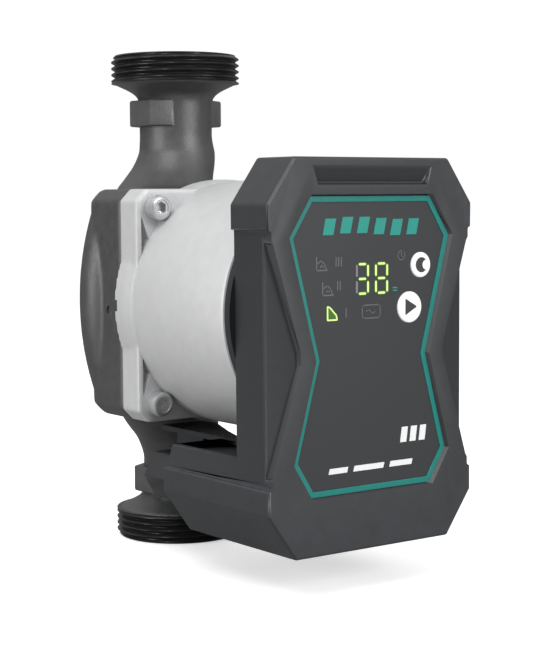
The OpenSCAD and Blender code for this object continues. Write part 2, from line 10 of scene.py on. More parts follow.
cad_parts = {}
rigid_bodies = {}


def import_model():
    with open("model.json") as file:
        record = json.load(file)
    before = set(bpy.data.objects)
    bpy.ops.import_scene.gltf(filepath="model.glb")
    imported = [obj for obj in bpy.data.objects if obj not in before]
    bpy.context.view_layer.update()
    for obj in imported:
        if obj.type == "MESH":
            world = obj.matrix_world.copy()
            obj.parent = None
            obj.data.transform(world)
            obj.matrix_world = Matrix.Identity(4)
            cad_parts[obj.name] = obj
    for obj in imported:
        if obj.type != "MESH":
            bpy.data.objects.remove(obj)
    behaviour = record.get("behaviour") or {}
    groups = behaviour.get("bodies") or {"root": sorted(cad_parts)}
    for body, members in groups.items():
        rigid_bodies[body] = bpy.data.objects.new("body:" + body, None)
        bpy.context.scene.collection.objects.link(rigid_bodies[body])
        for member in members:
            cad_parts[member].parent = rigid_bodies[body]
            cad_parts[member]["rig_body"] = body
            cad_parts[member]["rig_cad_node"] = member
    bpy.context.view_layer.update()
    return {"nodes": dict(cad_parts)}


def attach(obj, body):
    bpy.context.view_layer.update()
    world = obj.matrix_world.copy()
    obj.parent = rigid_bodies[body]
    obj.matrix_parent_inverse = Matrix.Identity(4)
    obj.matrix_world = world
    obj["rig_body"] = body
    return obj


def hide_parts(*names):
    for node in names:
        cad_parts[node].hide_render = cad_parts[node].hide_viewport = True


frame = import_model()

bl_info = {
    "name": "Circulator pump",
    "version": (1, 0, 0),
    "blender": (4, 5, 0),
    "location": "3D View > Sidebar > Pump",
    "description": "Builds the finished pieces of a circulator pump round its packed parts",
    "category": "Object",
}

MM = 0.001
AXIS_Z = 90.0  # height of the motor axis
PORT_TOP = 180.0
JOINT_Y = -27.0  # where the motor flange meets the pump casting
FLANGE_Y = -38.4
MOTOR_END_Y = -93.0
BUTTON_Y = -114.8  # face of the buttons at rest
PANEL_Y = -114.2  # face of the printed panel
SCREW_OFFSET = 34.0  # flange screws from the motor axis, across and up
PASSAGE = 10.5  # radius of the water passage
BLOCK = (41, 40.5, 4)  # half width, half height and cut corner of casting and flange
NIGHT_AT = (21.1, 105.0)
MODE_AT = (16.3, 91.3)
QUARTERS = [(side, level) for side in (-1, 1) for level in (-1, 1)]
FINISHES = {}


# ---------------------------------------------------------------- settings


def tint(name, description, default):
    return bpy.props.FloatVectorProperty(
        name=name, description=description, subtype="COLOR", size=3, min=0, max=1, default=default
    )


def length(name, description, default):
    return bpy.props.FloatProperty(
        name=name, description=description, default=default * MM, unit="LENGTH", precision=5
    )


def share(name, description, default):
    return bpy.props.FloatProperty(
        name=name, description=description, default=default, min=0, max=1, subtype="FACTOR"
    )


class PumpCastingSettings(bpy.types.PropertyGroup):
    iron: tint("Iron", "Colour of the painted casting", (0.043, 0.0435, 0.0445))
    # machined threads, darkened beyond the metal's own colour as painted shade in their grooves
    thread: tint("Thread", "Colour of the machined threads", (0.02, 0.02, 0.021))
    voxel: length("Casting detail", "Size of the voxels that soften the casting", 0.9)
    pitch: length("Thread pitch", "Distance from one thread turn to the next", 2.309)
    thread_depth: length("Thread depth", "Height of the thread from root to crest", 1.45)
    grain: share("Grain", "Strength of the sand-cast grain", 0.42)


class PumpMotorSettings(bpy.types.PropertyGroup):
    aluminium: tint("Aluminium", "Colour of the die-cast motor body", (0.58, 0.583, 0.588))
    steel: tint("Steel", "Colour of the screws", (0.66, 0.665, 0.67))
    voxel: length("Flange detail", "Size of the voxels that soften the flange", 0.7)


class PumpBoxSettings(bpy.types.PropertyGroup):
    shell: tint("Shell", "Colour of the control box", (0.021, 0.0232, 0.0262))
    panel: tint("Panel", "Colour of the printed panel", (0.030, 0.0315, 0.034))
    line: tint("Line", "Colour of the line round the panel", (0.009, 0.205, 0.182))
    lit: tint("Lit sign", "Colour of the glow round the lit signs", (0.07, 0.20, 0.01))
    edge: length("Edge", "Rounding of the box's outer edges", 0.8)


class PumpStageSettings(bpy.types.PropertyGroup):
    floor: tint("Floor", "Colour of the floor", (0.93, 0.93, 0.93))
    lens: bpy.props.FloatProperty(
        name="Lens", description="Focal length of the camera", default=88.48, unit="CAMERA"
    )
    sky: share("Sky", "Strength of the light from all round", 0.5)


# ---------------------------------------------------------------- modelling


def only(piece):
    """Selects one object and nothing else."""
    bpy.ops.object.select_all(action="DESELECT")
    piece.select_set(True)
    bpy.context.view_layer.objects.active = piece


def edit(piece):
    only(piece)
    bpy.ops.object.mode_set(mode="EDIT")
    bpy.ops.mesh.select_mode(type="VERT")
    bpy.ops.mesh.select_all(action="SELECT")


def leave():
    bpy.ops.object.mode_set(mode="OBJECT")


def fresh(name):
    """Names the object just added and puts its place into its mesh."""
    piece = bpy.context.object
    piece.name = piece.data.name = name
    bpy.ops.object.transform_apply(location=True, rotation=True, scale=True)
    return piece


def close_up(piece):
    """Turns every face of a closed piece outwards."""
    edit(piece)
    bpy.ops.mesh.normals_make_consistent(inside=False)
    leave()
    return piece


def modify(piece, kind, **settings):
    only(piece)
    modifier = piece.modifiers.new(kind.title(), kind)
    for key, value in settings.items():
        setattr(modifier, key, value)
    bpy.ops.object.modifier_apply(modifier=modifier.name)
    return piece


def combine(piece, other, how):
    """Cuts the other closed solid out of the piece, or joins it on, and removes the other."""
    modify(piece, "BOOLEAN", object=other, operation=how, solver="MANIFOLD")
    bpy.data.objects.remove(other)
    return piece


def cut(piece, *tools):
    for tool in tools:
        combine(piece, tool, "DIFFERENCE")
    return piece


def weld(piece, *others):
    for other in others:
        combine(piece, other, "UNION")
    return piece


def gather(name, pieces):
    """Joins separate solids into one object."""
    bpy.ops.object.select_all(action="DESELECT")
    for piece in pieces:
        piece.select_set(True)
    bpy.context.view_layer.objects.active = pieces[0]
    bpy.ops.object.join()
    pieces[0].name = pieces[0].data.name = name
    return pieces[0]


def spot(axis, along, across, up):
    """A place from its distance along an axis and across it, in metres."""
    order = {"X": (along, across, up), "Y": (across, along, up), "Z": (across, up, along)}[axis]
    return Vector(order) * MM


def stretch(axis, wide, high):
    return {"X": (1, wide, high), "Y": (wide, 1, high), "Z": (wide, high, 1)}[axis]


def loft(name, sections, axis="Z", sides=72):
    """Closed body through sections of (along, across, up, half width, half height)."""
    turn = {"X": (0, math.pi / 2, 0), "Y": (math.pi / 2, 0, 0), "Z": (0, 0, 0)}[axis]
    along, across, up, wide, high = sections[0]
    bpy.ops.object.select_all(action="DESELECT")
    middle = spot(axis, along, across, up)
    bpy.ops.mesh.primitive_circle_add(
        vertices=sides, radius=MM, fill_type="NGON", location=middle, rotation=turn
    )
    piece = fresh(name)
    edit(piece)
    bpy.ops.transform.resize(value=stretch(axis, wide, high), center_override=middle)
    for last, section in zip(sections, sections[1:]):
        move = spot(axis, *section[:3]) - spot(axis, *last[:3])
        bpy.ops.mesh.extrude_region_move(TRANSFORM_OT_translate={"value": move})
        bpy.ops.transform.resize(
            value=stretch(axis, section[3] / last[3], section[4] / last[4]),
            center_override=spot(axis, *section[:3]),
        )
    leave()
    return close_up(piece)


def rod(name, radius, start, end, axis="Y", across=0.0, up=AXIS_Z, sides=72):
    """Round bar between two distances along an axis."""
    sections = [(along, across, up, radius, radius) for along in (start, end)]
    return loft(name, sections, axis, sides)


def turned(name, profile, across=0.0, up=AXIS_Z, sides=72):
    """Solid turned about an axis along Y from (y, radius) stations."""
    return loft(name, [(y, across, up, r, r) for y, r in profile], "Y", sides)


def brick(name, low, high):
    middle = [(a + b) / 2 * MM for a, b in zip(low, high)]
    bpy.ops.object.select_all(action="DESELECT")
    bpy.ops.mesh.primitive_cube_add(
        size=1, location=middle, scale=[(b - a) * MM for a, b in zip(low, high)]
    )
    return fresh(name)


def slab(name, outline, front, back):
    """Plate along Y with an outline of (x, z) corners."""
    bpy.ops.object.select_all(action="DESELECT")
    bpy.ops.mesh.primitive_circle_add(vertices=len(outline), radius=MM, fill_type="NGON")
    piece = fresh(name)
    edit(piece)
    shape = bmesh.from_edit_mesh(piece.data)
    for corner, (x, z) in zip(shape.verts, outline):
        corner.co = (x * MM, front * MM, z * MM)
    bmesh.update_edit_mesh(piece.data)
    deep = (0, (back - front) * MM, 0)
    bpy.ops.mesh.extrude_region_move(TRANSFORM_OT_translate={"value": deep})
    leave()
    return close_up(piece)


def clip(piece, point, outward):
    """Cuts away what lies beyond a plane and closes the cut."""
    edit(piece)
    bpy.ops.mesh.bisect(
        plane_co=[v * MM for v in point], plane_no=outward, use_fill=True, clear_outer=True
    )
    leave()
    return piece


def copy_of(piece, name):
    only(piece)
    bpy.ops.object.duplicate()
    twin = bpy.context.object
    twin.name = twin.data.name = name
    return twin


def rework(node, name):
    """Copy of a CAD solid with its loose triangles merged, ready to be shaped further."""
    piece = copy_of(frame["nodes"][node], name)
    bpy.ops.object.parent_clear(type="CLEAR_KEEP_TRANSFORM")
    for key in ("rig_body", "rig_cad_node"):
        if key in piece:
            del piece[key]
    piece.hide_render = False
    piece.data.materials.clear()
    edit(piece)
    bpy.ops.mesh.remove_doubles(threshold=0.002 * MM)
    bpy.ops.mesh.dissolve_limited(angle_limit=0.008)
    leave()
    return piece


def select_edges(piece, test, sharper=0.5):
    """Selects the edges that turn by more than an angle and pass a test of their ends."""
    edit(piece)
    bpy.ops.mesh.select_all(action="DESELECT")
    bpy.ops.mesh.select_mode(type="EDGE")
    shape = bmesh.from_edit_mesh(piece.data)
    count = 0
    for line in shape.edges:
        if len(line.link_faces) == 2 and line.calc_face_angle(0) > sharper:
            a, b = (Vector(v.co) / MM for v in line.verts)
            if test(a, b):
                line.select = True
                count += 1
    bmesh.update_edit_mesh(piece.data)
    return count


def round_edges(piece, width, test, segments=2, sharper=0.5, clamp=True):
    """Rounds the edges that pass the test."""
    if select_edges(piece, test, sharper):
        bpy.ops.mesh.bevel(
            offset=width * MM, segments=segments, profile=0.5, affect="EDGES", clamp_overlap=clamp
        )
    leave()
    return piece


def smooth(piece, angle):
    """Smooths the shading over edges that turn by less than an angle in degrees."""
    only(piece)
    bpy.ops.object.shade_smooth_by_angle(angle=math.radians(angle))
    return piece


def firm(piece, angle):
    """Smooths the rounded edges and keeps the large faces flat."""
    smooth(piece, angle)
    return modify(piece, "WEIGHTED_NORMAL", keep_sharp=True, weight=100)


def settle(piece, body, slot, finish, *nodes):
    """Gives a piece its finish and its body, and hides the nodes that it stands for. The slot is not
    used.
    """
    piece.data.materials.clear()
    piece.data.materials.append(FINISHES[finish])
    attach(piece, body)
    if nodes:
        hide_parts(*nodes)
    return piece


def cut_corners(wide, high, corner, up=AXIS_Z):
    """Rectangle with its corners cut off, as (x, z) corners."""
    w, h, c = wide, high, corner
    top = [(w, h - c), (w - c, h), (c - w, h), (-w, h - c)]
    bottom = [(-w, c - h), (c - w, -h), (w - c, -h), (w, c - h)]
    return [(x, up + z) for x, z in top + bottom]


# ---------------------------------------------------------------- finishes


def group_of(name, inputs, outputs):
    """Empty shader node group with number inputs and the named outputs."""
    group = bpy.data.node_groups.new(name, "ShaderNodeTree")
    for label, value in inputs:
        socket = group.interface.new_socket(label, in_out="INPUT", socket_type="NodeSocketFloat")
        socket.default_value = value
    for label in outputs:
        group.interface.new_socket(label, in_out="OUTPUT", socket_type="NodeSocketFloat")
    return group, group.nodes.new("NodeGroupInput"), group.nodes.new("NodeGroupOutput")


def maths(tree, operation, first, second):
    node = tree.nodes.new("ShaderNodeMath")
    node.operation = operation
    for socket, value in zip(node.inputs, (first, second)):
        if isinstance(value, (int, float)):
            socket.default_value = value
        else:
            tree.links.new(value, socket)
    return node.outputs[0]


def grain_group():
    """Fine pimpled grain: a height for bumps and a soft mask for tones."""
    group, given, out = group_of(
        "Fine grain", [("Scale", 1500.0), ("Lumps", 0.3)], ["Height", "Mask"]
    )
    place = group.nodes.new("ShaderNodeTexCoord").outputs["Object"]
    fine = group.nodes.new("ShaderNodeTexNoise")
    fine.inputs["Detail"].default_value = 3
    cells = group.nodes.new("ShaderNodeTexVoronoi")
    broad = group.nodes.new("ShaderNodeTexNoise")
    for node in (fine, cells, broad):
        group.links.new(place, node.inputs["Vector"])
    group.links.new(given.outputs["Scale"], fine.inputs["Scale"])
    group.links.new(maths(group, "MULTIPLY", given.outputs["Scale"], 0.7), cells.inputs["Scale"])
    group.links.new(maths(group, "MULTIPLY", given.outputs["Scale"], 0.12), broad.inputs["Scale"])
    lumps = maths(group, "MULTIPLY", cells.outputs["Distance"], given.outputs["Lumps"])
    group.links.new(maths(group, "ADD", fine.outputs["Fac"], lumps), out.inputs["Height"])
    group.links.new(broad.outputs["Fac"], out.inputs["Mask"])
    return group


def edge_highlight_group():
    """Mask of the proud edges where a lighter colour is painted on as a highlight, broken up by noise."""
    group, given, out = group_of("Edge highlight", [("Reach", 0.08), ("Breaks", 220.0)], ["Mask"])
    point = group.nodes.new("ShaderNodeNewGeometry").outputs["Pointiness"]
    noise = group.nodes.new("ShaderNodeTexNoise")
    group.links.new(group.nodes.new("ShaderNodeTexCoord").outputs["Object"], noise.inputs["Vector"])
    group.links.new(given.outputs["Breaks"], noise.inputs["Scale"])
    proud = group.nodes.new("ShaderNodeMapRange")
    proud.inputs["From Min"].default_value = 0.505
    group.links.new(point, proud.inputs["Value"])
    group.links.new(maths(group, "ADD", given.outputs["Reach"], 0.5), proud.inputs["From Max"])
    mask = maths(group, "MULTIPLY", proud.outputs["Result"], noise.outputs["Fac"])
    group.links.new(mask, out.inputs["Mask"])
    return group


def layers_group():
    """Fine ridges along Y, as in stacked sheet or wound wire."""
    group, given, out = group_of("Fine layers", [("Pitch", 1400.0)], ["Height"])
    split = group.nodes.new("ShaderNodeSeparateXYZ")
    group.links.new(group.nodes.new("ShaderNodeTexCoord").outputs["Object"], split.inputs[0])
    turns = maths(group, "MULTIPLY", split.outputs["Y"], given.outputs["Pitch"])
    wave = maths(group, "SINE", turns, 0)
    group.links.new(maths(group, "MULTIPLY_ADD", wave, 0.5), out.inputs["Height"])
    return group


def mix(tree, kind, factor, first, second):
    """Blends two plain values or two colours by a linked factor."""
    node = tree.nodes.new("ShaderNodeMix")
    node.data_type = kind
    sockets = [s for s in node.inputs if s.enabled]
    tree.links.new(factor, sockets[0])
    for socket, value in zip(sockets[1:], (first, second)):
        if hasattr(value, "links"):
            tree.links.new(value, socket)
        else:
            socket.default_value = value
    return next(s for s in node.outputs if s.enabled)


def finish(name, dark, light, rough, metal, scale, depth, lumps=0.3,
           edge_highlight=None, reach=0.08, pitch=0.0, **constants):
    """Procedural material: two drifting tones, uneven gloss, grain of a depth in mm, a painted highlight
    on proud edges.
    """
    material = bpy.data.materials.new(name)
    material.use_nodes = True
    tree = material.node_tree
    shader = tree.nodes["Principled BSDF"]
    grain = tree.nodes.new("ShaderNodeGroup")
    grain.node_tree = bpy.data.node_groups["Fine grain"]
    grain.inputs["Scale"].default_value = scale
    grain.inputs["Lumps"].default_value = lumps
    colour = mix(tree, "RGBA", grain.outputs["Mask"], (*dark, 1), (*light, 1))
    # painted highlight: a lighter colour laid on the proud edges
    if edge_highlight:
        edges = tree.nodes.new("ShaderNodeGroup")
        edges.node_tree = bpy.data.node_groups["Edge highlight"]
        edges.inputs["Reach"].default_value = reach
        colour = mix(tree, "RGBA", edges.outputs["Mask"], colour, (*edge_highlight, 1))
    tree.links.new(colour, shader.inputs["Base Color"])
    tree.links.new(mix(tree, "FLOAT", grain.outputs["Mask"], *rough), shader.inputs["Roughness"])
    height = grain.outputs["Height"]
    if pitch:
        ridges = tree.nodes.new("ShaderNodeGroup")
        ridges.node_tree = bpy.data.node_groups["Fine layers"]
        ridges.inputs["Pitch"].default_value = pitch
        height = maths(tree, "ADD", height, ridges.outputs["Height"])
    bump = tree.nodes.new("ShaderNodeBump")
    bump.inputs["Distance"].default_value = depth * MM
    tree.links.new(height, bump.inputs["Height"])
    tree.links.new(bump.outputs["Normal"], shader.inputs["Normal"])
    shader.inputs["Metallic"].default_value = metal
    for key, value in constants.items():
        shader.inputs[key.replace("_", " ")].default_value = value
    FINISHES[name] = material


def shade(colour, amount):
    return tuple(min(1.0, c * amount) for c in colour)


class PUMP_OT_finishes(bpy.types.Operator):
    """Makes the shared effects and the material of every finish"""

    bl_idname = "pump.finishes"
    bl_label = "Finishes"

    def execute(self, context):
        for build in (grain_group, edge_highlight_group, layers_group):
            build()
        iron = context.scene.pump_casting
        motor = context.scene.pump_motor
        box = context.scene.pump_box
        # the casting, the motor and the box get a lighter colour on their proud edges as a painted
        # highlight
        finish("cast_iron", shade(iron.iron, 0.7), shade(iron.iron, 1.35), (0.38, 0.52), 0.1, 2700,
               0.17 * iron.grain, 0.5, edge_highlight=shade(iron.iron, 2.6), reach=0.12, Specular_IOR_Level=1.0)
        # the threads are darkened as painted shade in their grooves
        finish("thread_iron_groove_shade", iron.thread, shade(iron.thread, 1.5), (0.3, 0.42), 0.5, 1600, 0.02)
        finish("aluminium", shade(motor.aluminium, 0.96), shade(motor.aluminium, 1.04), (0.44, 0.54),
               0.2, 2400, 0.018, edge_highlight=(0.8, 0.8, 0.8))
        finish("screw_steel", shade(motor.steel, 0.85), motor.steel, (0.26, 0.36), 0.75, 3000, 0.008)
        finish("box_plastic", shade(box.shell, 0.94), shade(box.shell, 1.06), (0.36, 0.44), 0, 3600,
               0.012, edge_highlight=shade(box.shell, 3.0), reach=0.12, Specular_IOR_Level=0.6)
        finish("base_plastic", shade(box.shell, 0.7), shade(box.shell, 0.82), (0.42, 0.5), 0, 3600, 0.014)
        finish("panel", shade(box.panel, 0.97), shade(box.panel, 1.03), (0.38, 0.42), 0, 4200, 0.006)
        finish("trim", shade(box.line, 0.95), shade(box.line, 1.08), (0.32, 0.38), 0, 3000, 0.006)
        finish("mark_teal", (0.008, 0.27, 0.22), (0.012, 0.30, 0.25), (0.4, 0.5), 0, 3000, 0.003)
        finish("mark_white", (0.84, 0.84, 0.84), (0.9, 0.9, 0.9), (0.4, 0.5), 0, 3000, 0.003)
        finish("mark_grey", (0.115, 0.12, 0.127), (0.13, 0.135, 0.142), (0.4, 0.5), 0, 3000, 0.003)
        finish("mark_dark", (0.03, 0.032, 0.036), (0.04, 0.042, 0.046), (0.4, 0.5), 0, 3000, 0.003)
        # the buttons glow faintly as painted light, so they look brighter than the lamps make them
        finish("button_white_painted_glow", (0.88, 0.88, 0.88), (0.93, 0.93, 0.93), (0.3, 0.36), 0, 3000, 0.004,
               Emission_Color=(1, 1, 1, 1), Emission_Strength=0.15)
        finish("digit_unlit", (0.2, 0.19, 0.24), (0.24, 0.23, 0.29), (0.3, 0.4), 0, 3000, 0.003)
        finish("digit_glow", shade(box.lit, 0.5), shade(box.lit, 0.6), (0.4, 0.5), 0, 3000, 0.003,
               Emission_Color=(*box.lit, 1), Emission_Strength=0.2)
        finish("digit_core", (0.5, 0.66, 0.22), (0.55, 0.7, 0.26), (0.4, 0.5), 0, 3000, 0.003,
               Emission_Color=(0.62, 0.9, 0.22, 1), Emission_Strength=0.45)
        finish("display", (0.02, 0.022, 0.02), (0.03, 0.032, 0.03), (0.2, 0.3), 0, 3000, 0.004)
        finish("gland", (0.020, 0.021, 0.023), (0.030, 0.031, 0.034), (0.38, 0.46), 0, 3200, 0.014)
        finish("rubber", (0.012, 0.012, 0.013), (0.02, 0.02, 0.021), (0.62, 0.75), 0, 2600, 0.02)
        finish("stainless", (0.5, 0.51, 0.52), (0.6, 0.61, 0.62), (0.2, 0.3), 1, 2200, 0.006)
        finish("board", (0.012, 0.075, 0.03), (0.016, 0.11, 0.045), (0.25, 0.35), 0, 900, 0.03)
        finish("part_black", (0.015, 0.015, 0.016), (0.026, 0.026, 0.028), (0.4, 0.55), 0, 2600, 0.012)
        finish("part_cream", (0.62, 0.57, 0.44), (0.70, 0.65, 0.52), (0.4, 0.5), 0, 2200, 0.012)
        finish("film_yellow", (0.62, 0.40, 0.03), (0.72, 0.50, 0.05), (0.25, 0.35), 0, 1800, 0.012)
        finish("copper", (0.42, 0.13, 0.04), (0.62, 0.22, 0.08), (0.25, 0.36), 0.85, 2600, 0.05,
               pitch=9000)
        finish("brass", (0.55, 0.38, 0.12), (0.66, 0.47, 0.18), (0.25, 0.34), 1, 2600, 0.008)
        finish("laminate", (0.22, 0.225, 0.235), (0.3, 0.305, 0.315), (0.35, 0.48), 0.8, 1800, 0.05,
               pitch=12500)
        finish("magnet", (0.10, 0.10, 0.105), (0.15, 0.15, 0.155), (0.3, 0.42), 0.6, 2200, 0.012)
        finish("graphite", (0.028, 0.028, 0.03), (0.045, 0.045, 0.048), (0.42, 0.55), 0.2, 2600, 0.01)
        finish("ceramic", (0.62, 0.60, 0.56), (0.72, 0.70, 0.66), (0.16, 0.24), 0, 2400, 0.006)
        finish("impeller", (0.05, 0.052, 0.056), (0.07, 0.072, 0.078), (0.42, 0.52), 0, 2400, 0.016)
        finish("thermal_pad", (0.28, 0.34, 0.42), (0.34, 0.40, 0.48), (0.6, 0.7), 0, 2000, 0.02)
        finish("lead", (0.03, 0.08, 0.26), (0.04, 0.10, 0.32), (0.4, 0.5), 0, 2400, 0.008)
        finish("can", (0.46, 0.47, 0.48), (0.54, 0.55, 0.56), (0.24, 0.34), 1, 2200, 0.008)
        finish("led", (0.70, 0.72, 0.50), (0.80, 0.82, 0.60), (0.2, 0.3), 0, 2400, 0.004)
        return {"FINISHED"}


# ---------------------------------------------------------------- pump casting


def swelling(side):
    """Long low bulge of the scroll on one side of the casting."""
    bend, bulge = 91, 9
    middle = (-side * 55, -7, AXIS_Z)
    low, high, inner = 58, 122, 30
    bpy.ops.object.select_all(action="DESELECT")
    bpy.ops.mesh.primitive_torus_add(
        major_radius=bend * MM, minor_radius=bulge * MM, major_segments=160, minor_segments=24,
        location=[v * MM for v in middle], rotation=(math.pi / 2, 0, 0),
    )
    piece = fresh("swelling")
    clip(piece, (0, 0, high), (0, 0, 1))
    clip(piece, (0, 0, low), (0, 0, -1))
    return clip(piece, (side * inner, 0, 0), (-side, 0, 0))


def casting_block():
    """Square middle of the casting with rounded back edges."""
    back = -2
    block = slab("block", cut_corners(*BLOCK), JOINT_Y, back)
    return round_edges(block, 11, lambda a, b: min(a.y, b.y) > back - 1, segments=8)


def neck_lug(side, low):
    """Flat wrench face at the side of a neck, with a sloping face at each end."""
    root, face, reach, corner, tall = 5, 15.7, 11, 7.1, 9.7
    left, right = sorted((side * root, side * face))
    lug = brick("lug", (left, -reach, low), (right, reach, low + tall))
    for slope in (-1, 1):
        clip(lug, (side * face, slope * corner, 0), (side * 0.5, slope * 0.866, 0))

    def proud(a, b):
        """True on the level edges outside the neck."""
        return min(abs(a.x), abs(b.x)) > 8.5 and abs(a.z - b.z) < 0.1

    return round_edges(lug, 0.7, proud, segments=3)


def thread_collar(name, face, inward, settings):
    """Threaded end of a port, from its face inwards along Z."""
    pitch, depth = settings.pitch / MM, settings.thread_depth / MM
    crest, long, rings = 23.9, 10.3, 44
    chamfer, fade_length = 1.4, 1.2
    sections = [(face + inward * long * i / rings, 0, 0, crest, crest) for i in range(rings + 1)]
    collar = loft(name, sections, "Z", 120)
    edit(collar)
    shape = bmesh.from_edit_mesh(collar.data)
    for corner in shape.verts:
        x, y, z = (v / MM for v in corner.co)
        in_from_face = abs(z - face)
        turn = (z / pitch - math.atan2(y, x) / (2 * math.pi)) % 1.0
        tooth = min(1.0, max(0.0, 2.6 * abs(turn - 0.5) - 0.15))
        fade = min(1.0, max(0.0, (long - in_from_face) / fade_length))
        radius = crest - depth * tooth * fade
        radius = min(radius, crest - chamfer + in_from_face)
        corner.co.x *= radius / crest
        corner.co.y *= radius / crest
    bmesh.update_edit_mesh(collar.data)
    leave()
    cut(collar, rod("bore", PASSAGE, face - 20, face + 20, "Z", 0, 0))
    return smooth(collar, 28)


def necks():
    """Solid upper and lower neck, each flared at its thread and leaning into the casting."""
    # flare: distance in from the thread's end and radius
    flare = [(-1.6, 22.2), (0, 23), (0.6, 22.6), (1.3, 20.9),
             (2.3, 18.7), (3.4, 16.6), (4.7, 14.8), (6.3, 13.7)]
    # each neck: height, centre across, centre in depth, half width, half depth
    upper = [(PORT_TOP - 10.0 - z, 0, 0, r, r) for z, r in flare]
    upper += [(150, 0, 0, 13.5, 13.5), (147, 0.1, -0.1, 13.8, 13.8),
              (144.4, 0.3, -0.3, 14.2, 14.2), (140.6, -0.95, -0.8, 14.9, 14.9),
              (137.8, -2.4, -1.3, 15.5, 15.5), (135.5, -4.1, -2, 16.2, 16),
              (133, -5.9, -3, 17.1, 16.6), (130.9, -7.6, -4, 18, 17.2),
              (126, -8.5, -7, 20, 18), (100, 0, -4, 15, 14)]
    lower = [(10.0 + z, 0, 0, r, r) for z, r in flare]
    lower += [(30, 0, 0, 13.5, 13.5), (33, -0.5, -0.2, 14, 14),
              (37.2, -1.6, -0.7, 14.9, 14.9), (40, -3, -1.2, 15.9, 15.6),
              (42.2, -4.4, -1.8, 16.6, 16.2), (45, -6, -2.8, 17.4, 16.8),
              (49, -8, -4.2, 18.5, 17.4), (54, -8.5, -7, 20, 18), (80, 0, -4, 15, 14)]
    return [loft("upper_neck", upper), loft("lower_neck", lower)]


class PUMP_OT_casting(bpy.types.Operator):
    """Cast body with its necks, wrench flats, scroll and threads"""

    bl_idname = "pump.casting"
    bl_label = "Pump casting"

    def execute(self, context):
        settings = context.scene.pump_casting
        parts = [casting_block(), swelling(-1), swelling(1)]
        parts.append(turned("dome", [(-6, 30), (4, 29), (9.5, 26), (13, 22), (14.8, 17)]))
        parts.append(rod("core", 15, 36, 105, "Z", 0, 0))
        parts += necks()
        casting = gather("pump_casting", parts)
        modify(casting, "REMESH", mode="VOXEL", voxel_size=settings.voxel)
        modify(casting, "SMOOTH", factor=0.5, iterations=7)
        weld(casting, *[neck_lug(side, low) for side in (-1, 1) for low in (16.6, 153.7)])
        cut(
            casting,
            rod("inlet_bore", PASSAGE, -5, 40, "Z", 0, 0),
            rod("suction", 12, 39.9, 46, "Z", 0, 0),
            clip(rod("rise", 12, 45.9, 102, "Z", 0, 0), (0, -1, 0), (0, -1, 0)),
            rod("outlet_bore", PASSAGE, 135.5, 185, "Z", 0, 0),
            rod("chamber", 33.5, -40, -11),
            rod("seat", 36.5, -40, -24.7),
            rod("eye", 11, -20, 2),
            brick("joint_trim", (-60, -60, 0), (60, JOINT_Y, 180)),
        )
        for x, z in QUARTERS:
            at = (x * SCREW_OFFSET, AXIS_Z + z * SCREW_OFFSET)
            cut(casting, rod("screw_hole", 2.5, -40, -15, "Y", *at, 24))
        # small casting mark on the left cheek
        cut(casting, rod("mark", 1.5, -46, -40.4, "X", -18.5, 88, 20))
        smooth(casting, 40)
        settle(casting, "body", "cast_iron", "cast_iron", "pump_housing")
        for name, face, inward in (("inlet_thread_collar", 0, 1),
                                   ("outlet_thread_collar", PORT_TOP, -1)):
            collar = thread_collar(name, face, inward, settings)
            settle(collar, "body", "cast_iron", "thread_iron_groove_shade", "pump_housing")
        return {"FINISHED"}


# ---------------------------------------------------------------- motor


class PUMP_OT_motor(bpy.types.Operator):
    """Die-cast motor body with its flange, screw pads and drain notches"""

    bl_idname = "pump.motor"
    bl_label = "Motor body"

    def execute(self, context):
        body = slab("motor_body", cut_corners(*BLOCK), FLANGE_Y, JOINT_Y)
        round_part = [(FLANGE_Y, 43), (-36.4, 43.3), (-33, 43.8), (JOINT_Y, 43.8)]
        weld(body, turned("flange_round", round_part, sides=120))
        modify(body, "REMESH", mode="VOXEL", voxel_size=context.scene.pump_motor.voxel)
        modify(body, "SMOOTH", factor=0.5, iterations=4)
        for x, z in QUARTERS:
            outline = [(39.3, 10), (39.3, 31.5), (36, 22.6), (28, 20), (28, 10)]
            mirrored = [(x * a, AXIS_Z + z * b) for a, b in outline]
            pocket = slab("pocket", mirrored, -40, FLANGE_Y + 4)
            round_edges(pocket, 1.2, lambda a, b: max(a.y, b.y) > FLANGE_Y + 3.9, segments=4)
            cut(body, pocket)
        barrel = [(-31, 42.6), (-40.4, 43.2), (-41.2, 43.3),
                  (-91.8, 43.3), (-92.7, 42.9), (MOTOR_END_Y, 42.2)]
        weld(body, turned("barrel", barrel, sides=160))
        cut(
            body,
            rod("bore", 40, -100, -33, sides=120),
            rod("can_hole", 19.2, -45, -20),
            rod("can_seat", 30.2, -28, -20),
            brick("joint_trim", (-60, JOINT_Y, 0), (60, 0, 180)),
        )
        for x, z in QUARTERS:
            at = (x * SCREW_OFFSET, AXIS_Z + z * SCREW_OFFSET)
            cut(body, rod("hole", 2.75, -50, -20, "Y", *at, 24))
        for side in (-1, 1):
            cut(body, brick("drain", (side * 43.2 - 1.8, -29, 88), (side * 43.2 + 1.8, -20, 92)))
        pillars, circle = [], 37
        for angle in (90, 210, 330):
            x, z = circle * math.cos(math.radians(angle)), circle * math.sin(math.radians(angle))
            pillar = rod("pillar", 3.6, MOTOR_END_Y, -86, "Y", x, AXIS_Z + z, 32)
            pillars.append(cut(pillar, rod("hole", 1.4, -95, -80, "Y", x, AXIS_Z + z, 24)))
        weld(body, *pillars)
        settle(smooth(body, 36), "body", "aluminium", "aluminium", "motor_housing")
        return {"FINISHED"}


